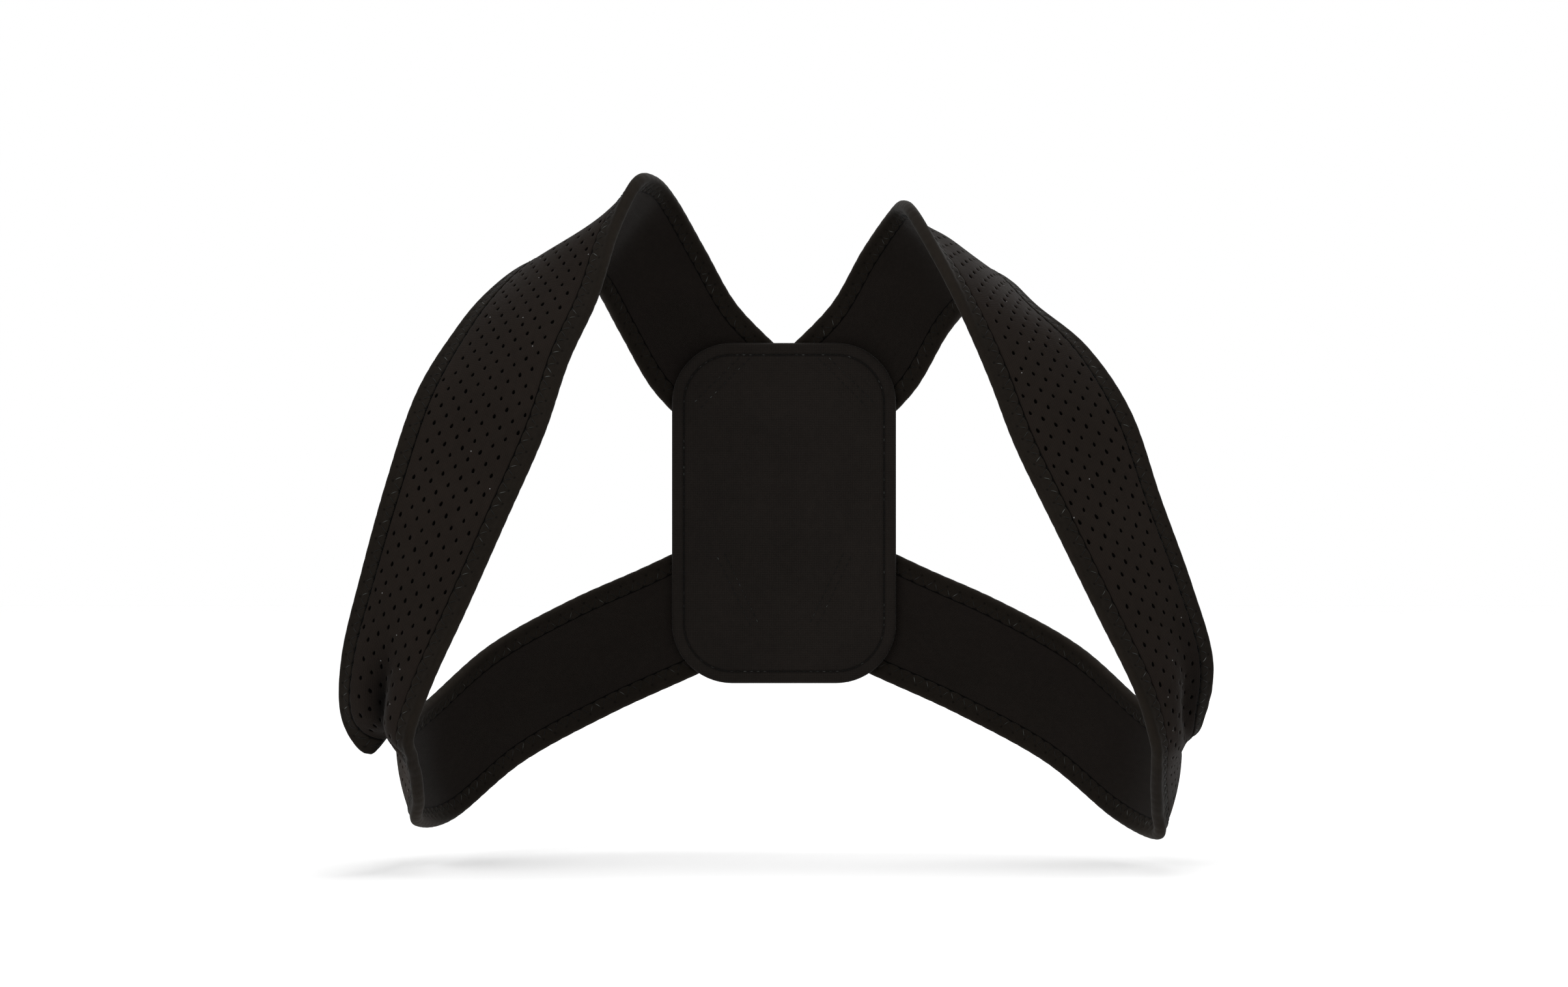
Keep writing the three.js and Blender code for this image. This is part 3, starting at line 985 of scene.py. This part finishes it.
def core_shade_material():
    """The foam inside the perforations: black foam, painted darker still for the shade deep in the holes.
    """
    shader = Shader("foam_core_shade", Roughness=1.0, Specular_IOR_Level=0.02)
    cells = shader.noise(shader.weave(), size=0.4)
    return shader.finish(CORE_SHADE_COLOUR, shader.sum([(0.8, cells)]), cells, depth=0.1, strength=0.4)


def panel_material():
    """Plain woven cloth: threads both ways, a cloudy tone, painted shade along the sewn hem and a faint
    lustre.
    """
    shader = Shader(
        "panel_cloth", Roughness=0.85, Specular_IOR_Level=0.07, Sheen_Weight=0.04, Sheen_Roughness=0.3
    )
    flat = shader.weave()
    warp = shader.ribs(flat, pitch=0.9, direction="X", distortion=1.0)
    weft = shader.ribs(flat, pitch=0.9, direction="Y", distortion=1.0)
    grain = shader.noise(flat, size=0.6)
    mottle = shader.noise(flat, size=5)
    cloud = shader.noise(flat, size=45)
    brightness = shader.sum([(0.35, warp), (0.35, weft), (0.45, grain), (0.35, mottle), (0.5, cloud)])
    edge = shader.add("SeparateXYZ", {0: flat}, output="Z")
    # Painted shade along the sewn line of the hem.
    from_hem = shader.math("ABSOLUTE", shader.math("SUBTRACT", edge, HEM * MM))
    sewn = shader.ramp(from_hem, low=0.2 * MM, high=1.1 * MM, at_low=0.5, at_high=1.0)
    height = shader.sum([(0.5, warp), (0.5, weft), (0.5, grain)])
    return shader.finish(PANEL_COLOUR, shader.product(brightness, sewn), height, depth=0.16, strength=0.7)


def needle_hole_shade(shader, along, edge, line, shift):
    """Painted shade where the needle goes in: one mark per stitch along a line at a distance from the edge.
    """
    turns = shader.math("MULTIPLY_ADD", along, 1 / (STITCH_PERIOD * MM), shift)
    beside = shader.product(shader.math("PINGPONG", turns, 0.5), STITCH_PERIOD * MM)
    across = shader.math("SUBTRACT", edge, line * MM)
    squares = shader.math("MULTIPLY_ADD", beside, beside, shader.product(across, across))
    away = shader.math("SQRT", squares)
    return shader.ramp(away, low=0.3 * MM, high=0.85 * MM, at_low=0.45, at_high=1.0)


def tape_material():
    """Smooth jersey tape: fine wales, a cloudy tone, painted shade at needle holes, a painted highlight on
    its fold.
    """
    shader = Shader(
        "tape", Roughness=0.88, Specular_IOR_Level=0.05, Sheen_Weight=0.06, Sheen_Roughness=0.25
    )
    flat = shader.weave()
    wales = shader.ribs(flat, pitch=0.55, direction="Y", distortion=1.5)
    courses = shader.ribs(flat, pitch=0.4, direction="X", distortion=1.0)
    grain = shader.noise(flat, size=0.6)
    mottle = shader.noise(flat, size=3)
    cloud = shader.noise(flat, size=25)
    cloth = shader.sum([(0.3, wales), (0.14, courses), (0.4, grain), (0.45, mottle), (0.35, cloud)])
    parts = shader.add("SeparateXYZ", {0: flat}).node.outputs
    # A painted highlight along the tape's fold.
    rim = shader.ramp(parts["Z"], low=0.0, high=2.2 * MM, at_low=1.35, at_high=1.0)
    # Painted shade in the dimples where the needle goes in.
    near = needle_hole_shade(shader, parts["X"], parts["Z"], line=NEEDLE_NEAR, shift=0.0)
    far = needle_hole_shade(shader, parts["X"], parts["Z"], line=STITCH_FAR, shift=BETWEEN_STITCHES)
    # The strap's painted light and shade reach onto its tape.
    brightness = shader.product(cloth, rim, near, far, shader.number("shade"))
    height = shader.sum([(0.5, wales), (0.3, courses), (0.6, grain)])
    return shader.finish(TAPE_COLOUR, brightness, height, depth=0.1, strength=0.6)


def thread_material():
    """Black sewing thread, with a painted glint in the middle of some of its stitches."""
    shader = Shader("thread", Roughness=0.55, Specular_IOR_Level=0.12)
    twist = shader.noise(shader.add("TexCoord", output="Object"), size=0.5)
    # The painted glint: a stitch's shine, raised to a power, brightens its colour.
    lit = shader.math("POWER", shader.number("shine"), GLINT_POWER)
    brightness = shader.math("MULTIPLY_ADD", lit, GLINT_GAIN, shader.sum([(0.8, twist)]))
    return shader.finish(THREAD_COLOUR, brightness, twist, depth=0.05, strength=0.5)


def floor_material():
    """A pale matt floor, painted darker near the part and paler far off to fade into the white
    surroundings.
    """
    shader = Shader("floor", Roughness=0.9, Specular_IOR_Level=0.1)
    place = shader.add("TexCoord", output="Object")
    mottle = shader.noise(place, size=60)
    away = shader.add("VectorMath", {0: place}, output="Value", operation="LENGTH")
    # Painted light: the floor grows paler with distance from the part.
    near = shader.ramp(away, low=0.3, high=3.0, at_low=0.86, at_high=1.0)
    pale = shader.product(near, shader.sum([(0.015, mottle)]))
    return shader.finish(FLOOR_COLOUR, pale, mottle, depth=0.05, strength=0.2)


def make_floor():
    """A pale floor just below the part."""
    height = cad_box[0].z - FLOOR_DROP
    corners = [(-1, -1), (1, -1), (1, 1), (-1, 1)]
    mesh = bpy.data.meshes.new("floor")
    mesh.from_pydata([(x * FLOOR_HALF, y * FLOOR_HALF, height) for x, y in corners], [], [(0, 1, 2, 3)])
    mesh.materials.append(floor_material())
    floor = bpy.data.objects.new("floor", mesh)
    bpy.context.scene.collection.objects.link(floor)


def make_softbox(name, place, target, size, power):
    """A square lamp of a size in metres, aimed from its place at a target."""
    data = bpy.data.lights.new(name, "AREA")
    data.shape = "SQUARE"
    data.size = size
    data.energy = power
    lamp = bpy.data.objects.new(name, data)
    lamp.location = place
    x, y, z = np.array(target) - np.array(place)
    lamp.rotation_euler = (math.atan2(math.hypot(x, y), -z), 0, math.atan2(-x, y))
    bpy.context.scene.collection.objects.link(lamp)


def make_studio():
    """White surroundings and three soft lamps."""
    world = bpy.data.worlds.new("studio")
    world.use_nodes = True
    background = world.node_tree.nodes["Background"]
    background.inputs["Color"].default_value = (1, 1, 1, 1)
    background.inputs["Strength"].default_value = 1.0
    bpy.context.scene.world = world
    bpy.context.scene.view_settings.view_transform = "Standard"
    make_softbox("key", place=(-1.2, -2.2, 1.4), target=(0, 0, -0.12), size=1.6, power=22)
    make_softbox("back", place=(0.9, 2.2, 1.2), target=(0, 0, -0.12), size=1.4, power=18)
    make_softbox("top", place=(0.3, 0.2, 2.2), target=(0, 0, -0.1), size=1.8, power=20)


def make_camera():
    """The photograph's camera, level and looking along +Y."""
    data = bpy.data.cameras.new("camera")
    data.sensor_fit = "HORIZONTAL"
    data.sensor_width = SENSOR_WIDTH
    data.lens = SENSOR_WIDTH * FOCAL_PIXELS / IMAGE_WIDTH
    camera = bpy.data.objects.new("camera", data)
    camera.location = np.array(CAMERA_PLACE) * MM
    camera.rotation_euler = (math.pi / 2, 0, 0)
    bpy.context.scene.collection.objects.link(camera)
    bpy.context.scene.camera = camera


make_camera()
make_studio()
make_floor()

knit = knit_material("knit_face", KNIT_COLOUR, rib=0.6, loop=0.9, lint=0.12, with_painted_light=True)
inner_knit = knit_material("inner_knit", INNER_COLOUR, rib=0.5, loop=0.7, lint=0.0, with_painted_light=False)
core = core_shade_material()
tape = tape_material()
thread = thread_material()

surfaces = []
for strap in STRAPS:
    surface = StrapSurface(strap["side"], strap["rows"], strap["folds"])
    surfaces.append(surface)
    foam = make_foam(strap, surface, [knit, core, inner_knit])
    for edge_name in EDGES:
        make_tape(strap, surface, edge_name, [tape])
        make_zigzag(strap, surface, edge_name, thread)
make_panel([panel_material()])
make_lap_stitching(surfaces, thread)
make_hem_stitching(thread)
